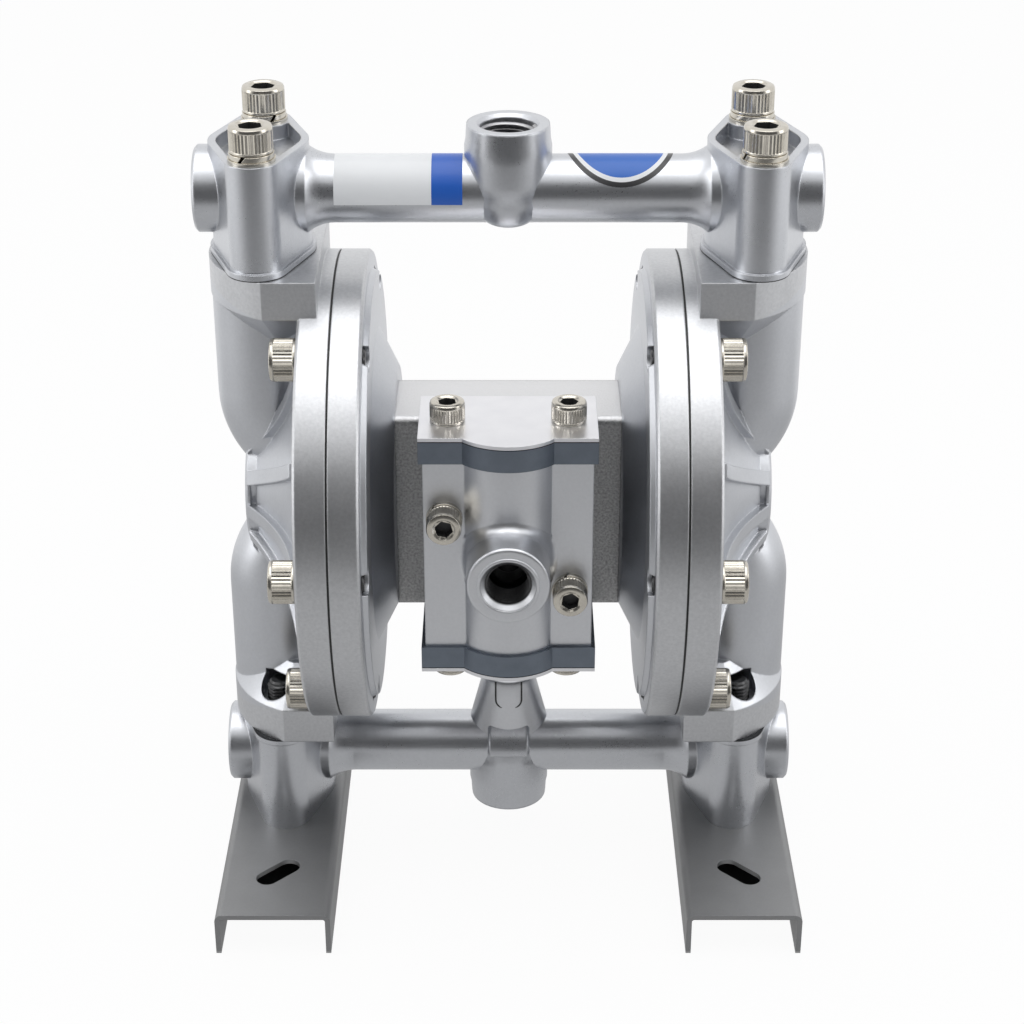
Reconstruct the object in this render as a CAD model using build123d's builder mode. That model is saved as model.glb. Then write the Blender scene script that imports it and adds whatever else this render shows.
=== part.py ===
from build123d import *
import os
from math import cos, radians, sin, sqrt

# Air operated double diaphragm pump. Millimetres, +Z up, the front with the air
# inlet faces -Y. The origin is on the floor under the middle of the pump.

# Feet: folded channels with the open side down
foot_width = 45.0
foot_height = 18.0
foot_length = 185.0
foot_sheet = 2.0
foot_bend = 3.0
slot_width = 9.0
slot_spacing = 11.0
slot_inset = 28.5

# Centre body: square in front, rounded at the back
body_half_x = 43.0
body_half_y = 27.0
body_half_z = 40.6
body_corner = 3.0
body_back_radius = 24.0
exhaust_up = 4.0
exhaust_bore = 10.48
exhaust_depth = 12.0
exhaust_passage_up = 13.5
airway_y = -17.0
airway_radius = 3.0
tie_screw_y = 17.0
tie_screw_z = 26.0

# Chambers and diaphragms
flange_radius = 92.0
air_depth = 21.5
air_flange = 11.3
air_wall = 7.0
diaphragm_rim = 0.8
liquid_flange = 11.9
flange_edge = 1.0
cavity_inset = 23.0
cavity_edge = 3.0
dome_inset = 20.0
dome_depth = 31.7
dome_bulge = 3.2
hub_height = 4.7
hub_radius = 25.0
hub_edge = 3.0
dome_wall = 5.0
cavity_bulge = 6.4
rib_width = 5.5
rib_height = 3.0
rib_angles = (-60, -30, 0, 30, 60)
notch_width = 2.4
notch_height = 9.0
notch_depth = 2.0
notch_angle = 15
step_depth = 2.2
step_inset = 8.5
cone_inset = 30.0
cone_end_radius = 46.5
bolt_inset = 10.7
bolt_angles = (0, 60, 120, 180, 240, 300)
diaphragm_thickness = 3.0
diaphragm_plate_radius = 43.0
bead_inset = 0.5
web_thickness = 2.4
web_bulge = 4.2

# Elbows from the liquid chambers to the manifolds
column_reach = 26.6
joint_margin = 6.5
tube_radius = 20.2
bend_radius = 25.0
bend_drop = 56.5
end_flange = 14.5
end_flange_half_y = 36.0
end_flange_inner = 21.9
end_flange_outer = 20.5
end_flange_corner = 2.0
shoulder = 14.0
blind_hole_depth = 16.0
bolt_pocket_gap = 2.5
bolt_pocket_height = 10.0

# Manifolds
inlet_joint_drop = 22.0
inlet_head_reach = 21.5
outlet_joint_drop = 23.7
outlet_head_reach = 19.0
pipe_radius = 12.7
pipe_bore = 8.5
flare_length = 10.0
flare_radius = 16.2
flare_overlap = 1.0
end_boss_radius = 16.25
end_boss_reach = 23.9
end_boss_edge = 1.0
head_radius = 18.6
head_wall = 3.0
bolt_boss_radius = 10.2
bolt_y = 24.0
lip_width = 1.2
lip_height = 2.6
pocket_depth = 5.5
port_boss_radius = 15.4
port_reach = 25.0
port_bore = 10.48
port_thread_depth = 16.0
port_chamfer = 1.2
# Port boss below its face: drop, change of half width, change of half depth
port_taper = (
    (0.0, 0.0, 0.0),
    (5.0, 0.2, 0.2),
    (9.5, 0.7, 0.7),
    (15.5, -1.2, 0.2),
    (22.5, -3.6, -0.6),
    (29.0, -5.5, -1.4),
)
# Stub under the port: height above the pipe's axis, half width, half depth
stub_sections = ((-3.0, 9.5, 13.7), (-9.2, 9.3, 13.2), (-11.2, 7.8, 11.6))
# Saddle over the inlet pipe: height, half width, half depth, and its groove as
# radius, width and depth
saddle_sections = ((-8.0, 16.8, 11.0), (-27.0, 11.9, 10.0))
saddle_groove = (6.7, 1.0, 1.0)
saddle_groove_drop = 2.2

# Ball checks
ball_radius = 9.5
ball_clearance = 1.6
ball_lift = 5.0
ball_gap = 0.25
seat_hole = 7.2
seat_radius = 13.5
seat_height = 4.0
joint_ring_inner = 14.9
joint_ring_width = 2.2
joint_ring_depth = 1.8
stop_thickness = 3.0
stop_bite = 1.0

# Centre rod and its discs
rod_radius = 8.0
rod_shoulder = 14.0
stud_radius = 6.0
stud_length = 18.1
rod_clearance = 0.05
rod_hole_gap = 0.3
bush_radius = 10.0
bush_length = 15.0
seal_radius = 12.0
seal_length = 4.0
inner_disc_radius = 38.0
inner_disc_rim = 2.0
outer_disc_radius = 36.0
outer_disc_rim = 2.0
outer_disc_height = 5.6
disc_boss_radius = 16.0
nut_across = 18.0
nut_height = 10.0

# Air valve
gasket_thickness = 0.6
gasket_margin = 0.5
valve_up = 1.0
valve_half_x = 31.35
valve_half_z = 38.6
wing_depth = 35.7
spool_depth = 21.4
bulge_radius = 21.5
inlet_reach = 36.0
inlet_boss_radius = 15.4
inlet_boss_edge = 1.2
inlet_bore = 8.33
inlet_thread_depth = 14.0
inlet_chamfer = 2.0
inlet_passage = 5.8
sleeve_radius = 14.0
sleeve_bore = 10.0
sleeve_port_spacing = 20.0
spool_travel = 10.0
spool_neck = 7.0
spool_lands = 4
land_length = 9.0
spool_gap = 0.1
sleeve_gap = 0.02
ring_depth = 1.6
ring_height = 2.4
cap_margin = 1.5
cap_height = 9.0
plate_height = 1.4
cap_screw_x = 22.3
valve_screws_at = ((-23.5, 17.0), (23.0, -13.0))

# Socket head screws: thread, head diameter, head height, key size, key depth
M10 = (10.0, 16.0, 10.0, 8.0, 5.0)
M8 = (8.0, 13.0, 8.0, 6.0, 4.0)
screw_gap = 0.05
m10_clear = 11.0
m8_clear = 9.0
flat_washer = (17.6, 1.2)
spring_washer = (16.6, 2.0)
small_spring_washer = (13.5, 2.0)
outlet_bolt_length = 60.0
inlet_bolt_length = 70.0
chamber_bolt_length = 25.0
cap_screw_length = 25.0
valve_screw_length = 50.0
tie_screw_length = 19.0
tie_screw_head = 15.0
tie_screw_head_height = 3.5
tie_screw_key = 4.0
tie_screw_key_depth = 2.0
hole_end_gap = 1.0

# Places along the shaft, from the centre body outwards
air_wall_x = body_half_x + air_wall
air_face_x = body_half_x + air_depth
liquid_face_x = air_face_x + diaphragm_rim
diaphragm_x = (air_face_x + liquid_face_x) / 2
liquid_back_x = liquid_face_x + liquid_flange
air_back_x = air_face_x - air_flange
step_x = air_back_x - step_depth
plate_in_x = diaphragm_x - diaphragm_thickness / 2
plate_out_x = diaphragm_x + diaphragm_thickness / 2
disc_end_x = plate_out_x + outer_disc_height
rod_shoulder_x = body_half_x + rod_shoulder
rod_end_x = diaphragm_x + stud_length
dome_end_x = liquid_face_x + dome_depth
hub_x = dome_end_x + hub_height
column_x = liquid_face_x + column_reach
end_corner_x = column_x - end_flange_corner
end_flange_inner_x = column_x - end_flange_inner
end_flange_outer_x = column_x + end_flange_outer
pipe_end_x = column_x + end_boss_reach
flare_end_x = column_x - head_radius + flare_overlap
flare_start_x = flare_end_x - flare_length

# Circles that follow the flange
bolt_circle = flange_radius - bolt_inset
cavity_radius = flange_radius - cavity_inset
bead_radius = cavity_radius - bead_inset
dome_radius = flange_radius - dome_inset
step_radius = flange_radius - step_inset
cone_top_radius = flange_radius - cone_inset

# Levels from the floor up
foot_top = foot_height - foot_sheet
joint_offset = flange_radius + joint_margin
bend_offset = joint_offset - bend_drop
inlet_z = foot_height + inlet_head_reach
inlet_joint_z = inlet_z + inlet_joint_drop
shaft_z = inlet_joint_z + joint_offset
outlet_joint_z = shaft_z + joint_offset
outlet_z = outlet_joint_z + outlet_joint_drop
outlet_head_z = outlet_z + outlet_head_reach
valve_z = shaft_z + valve_up

# Air valve, from the gasket forwards
gasket_y = -body_half_y
valve_back_y = gasket_y - gasket_thickness
wing_front_y = valve_back_y - wing_depth
spool_y = valve_back_y - spool_depth
inlet_face_y = spool_y - inlet_reach
airway_x = valve_half_x / 2
screw_bite = valve_screw_length - wing_depth - gasket_thickness
tie_depth = tie_screw_length - air_wall + hole_end_gap
cap_bite = cap_screw_length - cap_height - plate_height

ball_bore = ball_radius + ball_clearance
ball_rise = sqrt(ball_radius**2 - seat_hole**2) + ball_gap
stop_rise = ball_rise + ball_radius + ball_lift + ball_gap
slot_y = foot_length / 2 - slot_inset
foot_half = foot_width / 2
low_base = (Align.CENTER, Align.CENTER, Align.MIN)
lying = (0, 90, 0)

shaft_axis = Axis((0, 0, shaft_z), (1, 0, 0))
shaft_side = Plane((0, 0, shaft_z), x_dir=(1, 0, 0), z_dir=(0, -1, 0))
valve_front = Plane((0, spool_y, shaft_z), x_dir=(1, 0, 0), z_dir=(0, -1, 0))
cap_screw_points = ((-cap_screw_x, spool_y), (cap_screw_x, spool_y))
tie_points = [(y, z) for y in (-tie_screw_y, tie_screw_y) for z in (-tie_screw_z, tie_screw_z)]
bolt_points = [
    (bolt_circle * cos(radians(angle)), bolt_circle * sin(radians(angle))) for angle in bolt_angles
]


def across(x):
    """Plane at x facing +X, with Y and Z as its own axes, centred on the shaft."""
    return Plane((x, 0, shaft_z), x_dir=(0, 1, 0), z_dir=(1, 0, 0))


def socket_screw(size, length):
    """Socket head screw along Z, with the seat of its head at the origin."""
    thread, head, head_height, key, key_depth = size
    with BuildPart() as screw:
        Cylinder(thread / 2, length, align=(Align.CENTER, Align.CENTER, Align.MAX))
        Cylinder(head / 2, head_height, align=low_base)
        with BuildSketch(Plane.XY.offset(head_height)):
            RegularPolygon(key / 2, 6, major_radius=False)
        extrude(amount=-key_depth, mode=Mode.SUBTRACT)
    return screw.part


def washer(size, hole):
    """Flat ring lying on the origin."""
    diameter, thickness = size
    with BuildPart() as ring:
        Cylinder(diameter / 2, thickness, align=low_base)
        Cylinder(hole / 2, thickness, align=low_base, mode=Mode.SUBTRACT)
    return ring.part


def valve_outline(margin):
    """Plan of the air valve: two wings and a round bulge in front, flat at the back."""
    front_y = wing_front_y - margin
    with BuildSketch() as outline:
        with Locations((0, spool_y)):
            Circle(bulge_radius + margin)
        with Locations((0, valve_back_y)):
            Rectangle(
                3 * (bulge_radius + margin),
                bulge_radius + margin,
                align=(Align.CENTER, Align.MIN),
                mode=Mode.SUBTRACT,
            )
        with Locations((0, (front_y + valve_back_y) / 2)):
            Rectangle(2 * (valve_half_x + margin), valve_back_y - front_y)
    return outline.sketch


def block_outline():
    """End view of the centre body: small corners in front, large ones at the back."""
    with BuildSketch() as outline:
        Rectangle(2 * body_half_y, 2 * body_half_z)
        fillet(outline.vertices().sort_by(Axis.X)[:2], body_corner)
        fillet(outline.vertices().sort_by(Axis.X)[-2:], body_back_radius)
    return outline.sketch


def column_bolts(z):
    """Places of the four manifold bolts at a level."""
    return [(side * column_x, y, z) for side in (-1, 1) for y in (-bolt_y, bolt_y)]


def manifold_casting(joint_drop, head_reach, holds_seats):
    """Manifold about its own axis along X, with the joint faces down and the port up."""
    with BuildPart() as casting:
        Cylinder(pipe_radius, 2 * column_x, rotation=lying)
        for side in (-1, 1):
            # The pipe flares into the head and ends in a round boss beyond it
            with BuildSketch(Plane.XZ):
                with BuildLine():
                    Line((side * flare_start_x, 0), (side * flare_start_x, pipe_radius))
                    TangentArc(
                        (side * flare_start_x, pipe_radius),
                        (side * flare_end_x, flare_radius),
                        tangent=(side, 0),
                    )
                    Polyline(
                        (side * flare_end_x, flare_radius),
                        (side * column_x, flare_radius),
                        (side * column_x, end_boss_radius),
                        (side * (pipe_end_x - end_boss_edge), end_boss_radius),
                        (side * pipe_end_x, end_boss_radius - end_boss_edge),
                        (side * pipe_end_x, 0),
                        (side * flare_start_x, 0),
                    )
                make_face()
            revolve(axis=Axis.X)
            head_plane = Plane((side * column_x, 0, -joint_drop))
            with BuildSketch(head_plane):
                Circle(head_radius)
                with Locations((0, bolt_y), (0, -bolt_y)):
                    Circle(bolt_boss_radius)
                make_hull()
            extrude(amount=joint_drop + head_reach)
            with BuildSketch(head_plane):
                Circle(head_radius + lip_width)
                with Locations((0, bolt_y), (0, -bolt_y)):
                    Circle(bolt_boss_radius + lip_width)
                make_hull()
            extrude(amount=lip_height)
            with BuildSketch(Plane((side * column_x, 0, head_reach))):
                Circle(head_radius - head_wall)
                with Locations((0, bolt_y), (0, -bolt_y)):
                    Circle(bolt_boss_radius - head_wall)
                make_hull()
                with Locations((0, bolt_y), (0, -bolt_y)):
                    Circle(bolt_boss_radius, mode=Mode.SUBTRACT)
            extrude(amount=-pocket_depth, mode=Mode.SUBTRACT)
        # Port boss, round at its face and a narrow oval where it runs out below the pipe
        for drop, wider, deeper in port_taper:
            with BuildSketch(Plane.XY.offset(port_reach - drop)):
                Ellipse(port_boss_radius + wider, port_boss_radius + deeper)
        loft()
        for height, half_x, half_y in stub_sections:
            with BuildSketch(Plane.XY.offset(height)):
                Ellipse(half_x, half_y)
        loft(ruled=True)
        if holds_seats:
            for height, half_x, half_y in saddle_sections:
                with BuildSketch(Plane.XY.offset(height)):
                    Ellipse(half_x, half_y)
            loft(ruled=True)
            groove_radius, groove_width, groove_depth = saddle_groove
            saddle_top, _, saddle_half_y = saddle_sections[-1]
            for way in (-1, 1):
                groove_plane = Plane(
                    (0, way * (saddle_half_y - groove_depth), saddle_top - saddle_groove_drop),
                    x_dir=(1, 0, 0),
                    z_dir=(0, way, 0),
                )
                with BuildSketch(groove_plane):
                    SlotCenterToCenter(2 * groove_radius, 2 * groove_radius, rotation=90)
                    SlotCenterToCenter(
                        2 * groove_radius,
                        2 * (groove_radius - groove_width),
                        rotation=90,
                        mode=Mode.SUBTRACT,
                    )
                extrude(amount=saddle_half_y, mode=Mode.SUBTRACT)
        Cylinder(pipe_bore, 2 * column_x, rotation=lying, mode=Mode.SUBTRACT)
        Cylinder(pipe_bore, port_reach, align=low_base, mode=Mode.SUBTRACT)
        with Locations((0, 0, port_reach - port_thread_depth)):
            Cylinder(port_bore, port_thread_depth, align=low_base, mode=Mode.SUBTRACT)
        with Locations((0, 0, port_reach - port_chamfer)):
            Cone(port_bore, port_bore + port_chamfer, port_chamfer, align=low_base, mode=Mode.SUBTRACT)
        for side in (-1, 1):
            with Locations((side * column_x, 0, -joint_drop)):
                Cylinder(ball_bore, joint_drop + stop_thickness, align=low_base, mode=Mode.SUBTRACT)
            if holds_seats:
                with Locations((side * column_x, 0, -joint_drop)):
                    Cylinder(seat_radius, seat_height, align=low_base, mode=Mode.SUBTRACT)
            else:
                with Locations((side * column_x, 0, stop_rise - joint_drop)):
                    Cylinder(
                        stop_thickness,
                        pipe_bore + joint_drop - stop_rise + stop_bite,
                        align=low_base,
                    )
        with Locations(*column_bolts(-joint_drop)):
            Cylinder(m10_clear / 2, joint_drop + head_reach, align=low_base, mode=Mode.SUBTRACT)
    return casting.part


# Outlet manifold on top, and the same casting turned over as the inlet manifold
outlet_casting = manifold_casting(outlet_joint_drop, outlet_head_reach, False)
with BuildPart() as outlet_manifold:
    with Locations((0, 0, outlet_z)):
        add(outlet_casting)
outlet_manifold.part.label = "outlet_manifold"

inlet_casting = manifold_casting(inlet_joint_drop, inlet_head_reach, True)
with BuildPart() as inlet_manifold:
    with Locations(Location((0, 0, inlet_z), (180, 0, 0))):
        add(inlet_casting)
inlet_manifold.part.label = "inlet_manifold"

# Liquid chamber on the right: flange, ribbed dome, and an elbow to each manifold
with BuildPart() as liquid_chamber_right:
    with BuildSketch(shaft_side):
        with BuildLine():
            Polyline(
                (liquid_face_x, 0),
                (liquid_face_x, flange_radius),
                (liquid_back_x - flange_edge, flange_radius),
                (liquid_back_x, flange_radius - flange_edge),
                (liquid_back_x, dome_radius),
            )
            SagittaArc((liquid_back_x, dome_radius), (dome_end_x, hub_radius), -dome_bulge)
            Polyline(
                (dome_end_x, hub_radius),
                (hub_x - flange_edge, hub_radius - flange_edge),
                (hub_x, hub_radius - hub_edge),
                (hub_x, 0),
                (liquid_face_x, 0),
            )
        make_face()
    revolve(axis=shaft_axis)
    for side in (-1, 1):
        for angle in rib_angles:
            lean = radians(angle)
            rib_plane = Plane(
                (0, 0, shaft_z),
                x_dir=(1, 0, 0),
                z_dir=(0, -sin(lean), side * cos(lean)),
            )
            with BuildSketch(rib_plane):
                with BuildLine():
                    Polyline(
                        (hub_x - flange_edge, hub_radius - hub_edge),
                        (liquid_back_x - flange_edge, hub_radius - hub_edge),
                        (liquid_back_x - flange_edge, dome_radius),
                        (liquid_back_x + rib_height, dome_radius - flange_edge),
                    )
                    SagittaArc(
                        (liquid_back_x + rib_height, dome_radius - flange_edge),
                        (hub_x - flange_edge, hub_radius),
                        -dome_bulge,
                    )
                    Line(
                        (hub_x - flange_edge, hub_radius),
                        (hub_x - flange_edge, hub_radius - hub_edge),
                    )
                make_face()
            extrude(amount=rib_width / 2, both=True)
        # Small notch in the hub between two ribs
        notch_y = side * hub_radius * cos(radians(notch_angle))
        notch_z = shaft_z + hub_radius * sin(radians(notch_angle))
        with Locations((dome_end_x + notch_width / 2, notch_y, notch_z)):
            Box(notch_width, 2 * notch_depth, notch_height, mode=Mode.SUBTRACT)
    for way in (-1, 1):
        bend_plane = Plane((column_x, 0, shaft_z + way * bend_offset), z_dir=(0, 0, way))
        bend_axis = Axis((column_x - bend_radius, 0, shaft_z + way * bend_offset), (0, way, 0))
        with BuildSketch(bend_plane):
            Circle(tube_radius)
        revolve(axis=bend_axis, revolution_arc=90)
        with BuildSketch(bend_plane):
            Circle(tube_radius)
        extrude(amount=joint_offset - bend_offset)
        flange_plane = Plane(
            (0, 0, shaft_z + way * (joint_offset - end_flange)),
            x_dir=(1, 0, 0),
            z_dir=(0, 0, way),
        )
        for amount, taper in ((end_flange, 0), (-shoulder, 45)):
            with BuildSketch(flange_plane):
                with BuildLine():
                    ThreePointArc(
                        (end_corner_x, -end_flange_half_y),
                        (end_flange_outer_x, 0),
                        (end_corner_x, end_flange_half_y),
                    )
                    Polyline(
                        (end_corner_x, end_flange_half_y),
                        (end_flange_inner_x, end_flange_half_y),
                        (end_flange_inner_x, -end_flange_half_y),
                        (end_corner_x, -end_flange_half_y),
                    )
                make_face()
            extrude(amount=amount, taper=taper)
    # Liquid space behind the diaphragm and the ways to the manifolds
    with BuildSketch(shaft_side):
        with BuildLine():
            Line((liquid_face_x, 0), (liquid_face_x, cavity_radius))
            SagittaArc(
                (liquid_face_x, cavity_radius),
                (dome_end_x - dome_wall, hub_radius - dome_wall),
                -cavity_bulge,
            )
            Polyline(
                (dome_end_x - dome_wall, hub_radius - dome_wall),
                (dome_end_x - dome_wall, 0),
                (liquid_face_x, 0),
            )
        make_face()
    revolve(axis=shaft_axis, mode=Mode.SUBTRACT)
    for way in (-1, 1):
        bend_plane = Plane((column_x, 0, shaft_z + way * bend_offset), z_dir=(0, 0, way))
        bend_axis = Axis((column_x - bend_radius, 0, shaft_z + way * bend_offset), (0, way, 0))
        with BuildSketch(bend_plane):
            Circle(ball_bore)
        revolve(axis=bend_axis, revolution_arc=90, mode=Mode.SUBTRACT)
        with BuildSketch(bend_plane):
            Circle(ball_bore)
        extrude(amount=joint_offset - bend_offset, mode=Mode.SUBTRACT)
        face_plane = Plane(
            (column_x, 0, shaft_z + way * joint_offset),
            x_dir=(1, 0, 0),
            z_dir=(0, 0, way),
        )
        with BuildSketch(face_plane):
            Circle(joint_ring_inner + joint_ring_width)
            Circle(joint_ring_inner, mode=Mode.SUBTRACT)
        extrude(amount=-joint_ring_depth, mode=Mode.SUBTRACT)
        # Blind threads above; below, the screws come out in small pockets
        with BuildSketch(face_plane):
            with Locations((0, bolt_y), (0, -bolt_y)):
                Circle(M10[0] / 2 + screw_gap)
        extrude(amount=-blind_hole_depth, mode=Mode.SUBTRACT)
        if way < 0:
            with BuildSketch(face_plane.offset(-end_flange)):
                with Locations((0, bolt_y), (0, -bolt_y)):
                    Circle(M10[0] / 2 + bolt_pocket_gap)
            extrude(amount=-bolt_pocket_height, mode=Mode.SUBTRACT)
    with Locations((column_x, 0, shaft_z + joint_offset)):
        Cylinder(
            seat_radius,
            seat_height,
            align=(Align.CENTER, Align.CENTER, Align.MAX),
            mode=Mode.SUBTRACT,
        )
    with Locations((column_x, 0, shaft_z - joint_offset + stop_rise)):
        Box(2 * (ball_bore + stop_bite), stop_thickness, stop_thickness, align=low_base)
        Box(stop_thickness, 2 * (ball_bore + stop_bite), stop_thickness, align=low_base)
    with BuildSketch(across(liquid_face_x)):
        with Locations(*bolt_points):
            Circle(m10_clear / 2)
    extrude(amount=liquid_flange, mode=Mode.SUBTRACT)
liquid_chamber_right.part.label = "liquid_chamber_right"

block_end = block_outline()

# Air chamber on the right: flange, bell and the saddle that meets the centre body
with BuildPart() as air_chamber_right:
    with BuildSketch(shaft_side):
        with BuildLine():
            Polyline(
                (body_half_x, 0),
                (body_half_x, cone_end_radius),
                (step_x, cone_top_radius),
                (step_x, step_radius),
                (air_back_x, step_radius + flange_edge),
                (air_back_x, flange_radius - flange_edge),
                (air_back_x + flange_edge, flange_radius),
                (air_face_x, flange_radius),
                (air_face_x, 0),
                close=True,
            )
        make_face()
    revolve(axis=shaft_axis)
    with BuildSketch(across(body_half_x)):
        add(block_end)
    extrude(amount=step_x - body_half_x)
    with BuildSketch(shaft_side):
        with BuildLine():
            Polyline(
                (air_wall_x, 0),
                (air_wall_x, cone_end_radius),
                (air_face_x - air_flange / 2, cavity_radius - cavity_edge),
                (air_face_x, cavity_radius),
                (air_face_x, 0),
                close=True,
            )
        make_face()
    revolve(axis=shaft_axis, mode=Mode.SUBTRACT)
    with BuildSketch(across(body_half_x)):
        Circle(rod_radius + rod_hole_gap)
        with Locations((airway_y, 0)):
            Circle(airway_radius)
        with Locations(*tie_points):
            Circle(M8[0] / 2 + screw_gap)
    extrude(amount=air_wall_x - body_half_x, mode=Mode.SUBTRACT)
    for y, z in tie_points:
        with Locations(Location((air_wall_x, y, shaft_z + z), (0, -90, 0))):
            Cone(
                tie_screw_head / 2,
                M8[0] / 2 + screw_gap,
                tie_screw_head_height,
                align=low_base,
                mode=Mode.SUBTRACT,
            )
    with BuildSketch(across(step_x)):
        with Locations(*bolt_points):
            Circle(M10[0] / 2 + screw_gap)
    extrude(amount=air_face_x - step_x, mode=Mode.SUBTRACT)
air_chamber_right.part.label = "air_chamber_right"

# Diaphragm on the right: flat plate at the discs, one convolution, thin clamped rim
with BuildPart() as diaphragm_right:
    with BuildSketch(shaft_side):
        with BuildLine():
            Polyline(
                (air_face_x, bead_radius),
                (air_face_x, flange_radius - bead_inset),
                (liquid_face_x, flange_radius - bead_inset),
                (liquid_face_x, bead_radius),
            )
            SagittaArc(
                (liquid_face_x, bead_radius),
                (plate_out_x, diaphragm_plate_radius),
                -web_bulge,
            )
            Polyline(
                (plate_out_x, diaphragm_plate_radius),
                (plate_out_x, stud_radius),
                (plate_in_x, stud_radius),
                (plate_in_x, diaphragm_plate_radius),
            )
            SagittaArc(
                (plate_in_x, diaphragm_plate_radius),
                (air_face_x, bead_radius),
                web_bulge + web_thickness - (diaphragm_thickness + diaphragm_rim) / 2,
            )
        make_face()
    revolve(axis=shaft_axis)
    with BuildSketch(across(air_face_x)):
        with Locations(*bolt_points):
            Circle(m10_clear / 2)
    extrude(amount=diaphragm_rim, mode=Mode.SUBTRACT)
diaphragm_right.part.label = "diaphragm_right"

# Discs that clamp the middle of the diaphragm, and the nut outside them
with BuildPart() as inner_disc_right:
    with BuildSketch(shaft_side):
        with BuildLine():
            Polyline(
                (rod_shoulder_x, stud_radius),
                (rod_shoulder_x, disc_boss_radius),
                (plate_in_x - inner_disc_rim, inner_disc_radius),
                (plate_in_x, inner_disc_radius),
                (plate_in_x, stud_radius),
                close=True,
            )
        make_face()
    revolve(axis=shaft_axis)
inner_disc_right.part.label = "inner_disc_right"

with BuildPart() as outer_disc_right:
    with BuildSketch(shaft_side):
        with BuildLine():
            Polyline(
                (plate_out_x, stud_radius),
                (plate_out_x, outer_disc_radius),
                (plate_out_x + outer_disc_rim, outer_disc_radius),
                (disc_end_x, disc_boss_radius),
                (disc_end_x, stud_radius),
                close=True,
            )
        make_face()
    revolve(axis=shaft_axis)
outer_disc_right.part.label = "outer_disc_right"

with BuildPart() as disc_nut_right:
    with BuildSketch(across(disc_end_x)):
        RegularPolygon(nut_across / 2, 6, major_radius=False)
        Circle(stud_radius, mode=Mode.SUBTRACT)
    extrude(amount=nut_height)
disc_nut_right.part.label = "disc_nut_right"

# Left pieces mirror the right ones
with BuildPart() as liquid_chamber_left:
    mirror(liquid_chamber_right.part, about=Plane.YZ)
liquid_chamber_left.part.label = "liquid_chamber_left"

with BuildPart() as air_chamber_left:
    mirror(air_chamber_right.part, about=Plane.YZ)
air_chamber_left.part.label = "air_chamber_left"

with BuildPart() as diaphragm_left:
    mirror(diaphragm_right.part, about=Plane.YZ)
diaphragm_left.part.label = "diaphragm_left"

with BuildPart() as inner_disc_left:
    mirror(inner_disc_right.part, about=Plane.YZ)
inner_disc_left.part.label = "inner_disc_left"

with BuildPart() as outer_disc_left:
    mirror(outer_disc_right.part, about=Plane.YZ)
outer_disc_left.part.label = "outer_disc_left"

with BuildPart() as disc_nut_left:
    mirror(disc_nut_right.part, about=Plane.YZ)
disc_nut_left.part.label = "disc_nut_left"

# Centre rod with a threaded stud at each end
with BuildPart() as centre_rod:
    with Locations((0, 0, shaft_z)):
        Cylinder(rod_radius, 2 * rod_shoulder_x, rotation=lying)
        Cylinder(stud_radius, 2 * rod_end_x, rotation=lying)
centre_rod.part.label = "centre_rod"

# Centre body with the rod bore, the airways and the exhaust at the back
with BuildPart() as centre_body:
    with BuildSketch(across(-body_half_x)):
        add(block_end)
    extrude(amount=2 * body_half_x)
    with Locations((0, 0, shaft_z)):
        Cylinder(rod_radius + rod_hole_gap, 2 * body_half_x, rotation=lying, mode=Mode.SUBTRACT)
    for side in (-1, 1):
        with Locations((side * (body_half_x - seal_length / 2), 0, shaft_z)):
            Cylinder(seal_radius, seal_length, rotation=lying, mode=Mode.SUBTRACT)
        with Locations((side * (body_half_x - seal_length - bush_length / 2), 0, shaft_z)):
            Cylinder(bush_radius, bush_length, rotation=lying, mode=Mode.SUBTRACT)
        with Locations((side * (body_half_x + airway_x) / 2, airway_y, shaft_z)):
            Cylinder(airway_radius, body_half_x - airway_x, rotation=lying, mode=Mode.SUBTRACT)
        with BuildSketch(Plane((side * airway_x, gasket_y, shaft_z), z_dir=(0, 1, 0))):
            Circle(airway_radius)
        extrude(amount=body_half_y + airway_y, mode=Mode.SUBTRACT)
        with BuildSketch(across(side * body_half_x)):
            with Locations(*tie_points):
                Circle(M8[0] / 2 + screw_gap)
        extrude(amount=-side * tie_depth, mode=Mode.SUBTRACT)
    with BuildSketch(Plane((0, body_half_y, shaft_z + exhaust_up), z_dir=(0, 1, 0))):
        Circle(exhaust_bore)
    extrude(amount=-exhaust_depth, mode=Mode.SUBTRACT)
    with BuildSketch(Plane((0, gasket_y, shaft_z + exhaust_passage_up), z_dir=(0, 1, 0))):
        Circle(airway_radius)
    extrude(amount=2 * body_half_y - exhaust_depth / 2, mode=Mode.SUBTRACT)
    for x, z in valve_screws_at:
        with BuildSketch(Plane((x, gasket_y, shaft_z + z), z_dir=(0, 1, 0))):
            Circle(M8[0] / 2 + screw_gap)
        extrude(amount=screw_bite, mode=Mode.SUBTRACT)
centre_body.part.label = "centre_body"

# Bushes and seals that carry the rod
with BuildPart() as rod_bushes:
    for side in (-1, 1):
        with Locations((side * (body_half_x - seal_length - bush_length / 2), 0, shaft_z)):
            Cylinder(bush_radius, bush_length, rotation=lying)
            Cylinder(rod_radius + rod_clearance, bush_length, rotation=lying, mode=Mode.SUBTRACT)
rod_bushes.part.label = "rod_bushes"

with BuildPart() as rod_seals:
    for side in (-1, 1):
        with Locations((side * (body_half_x - seal_length / 2), 0, shaft_z)):
            Cylinder(seal_radius, seal_length, rotation=lying)
            Cylinder(rod_radius + rod_clearance, seal_length, rotation=lying, mode=Mode.SUBTRACT)
rod_seals.part.label = "rod_seals"

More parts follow.
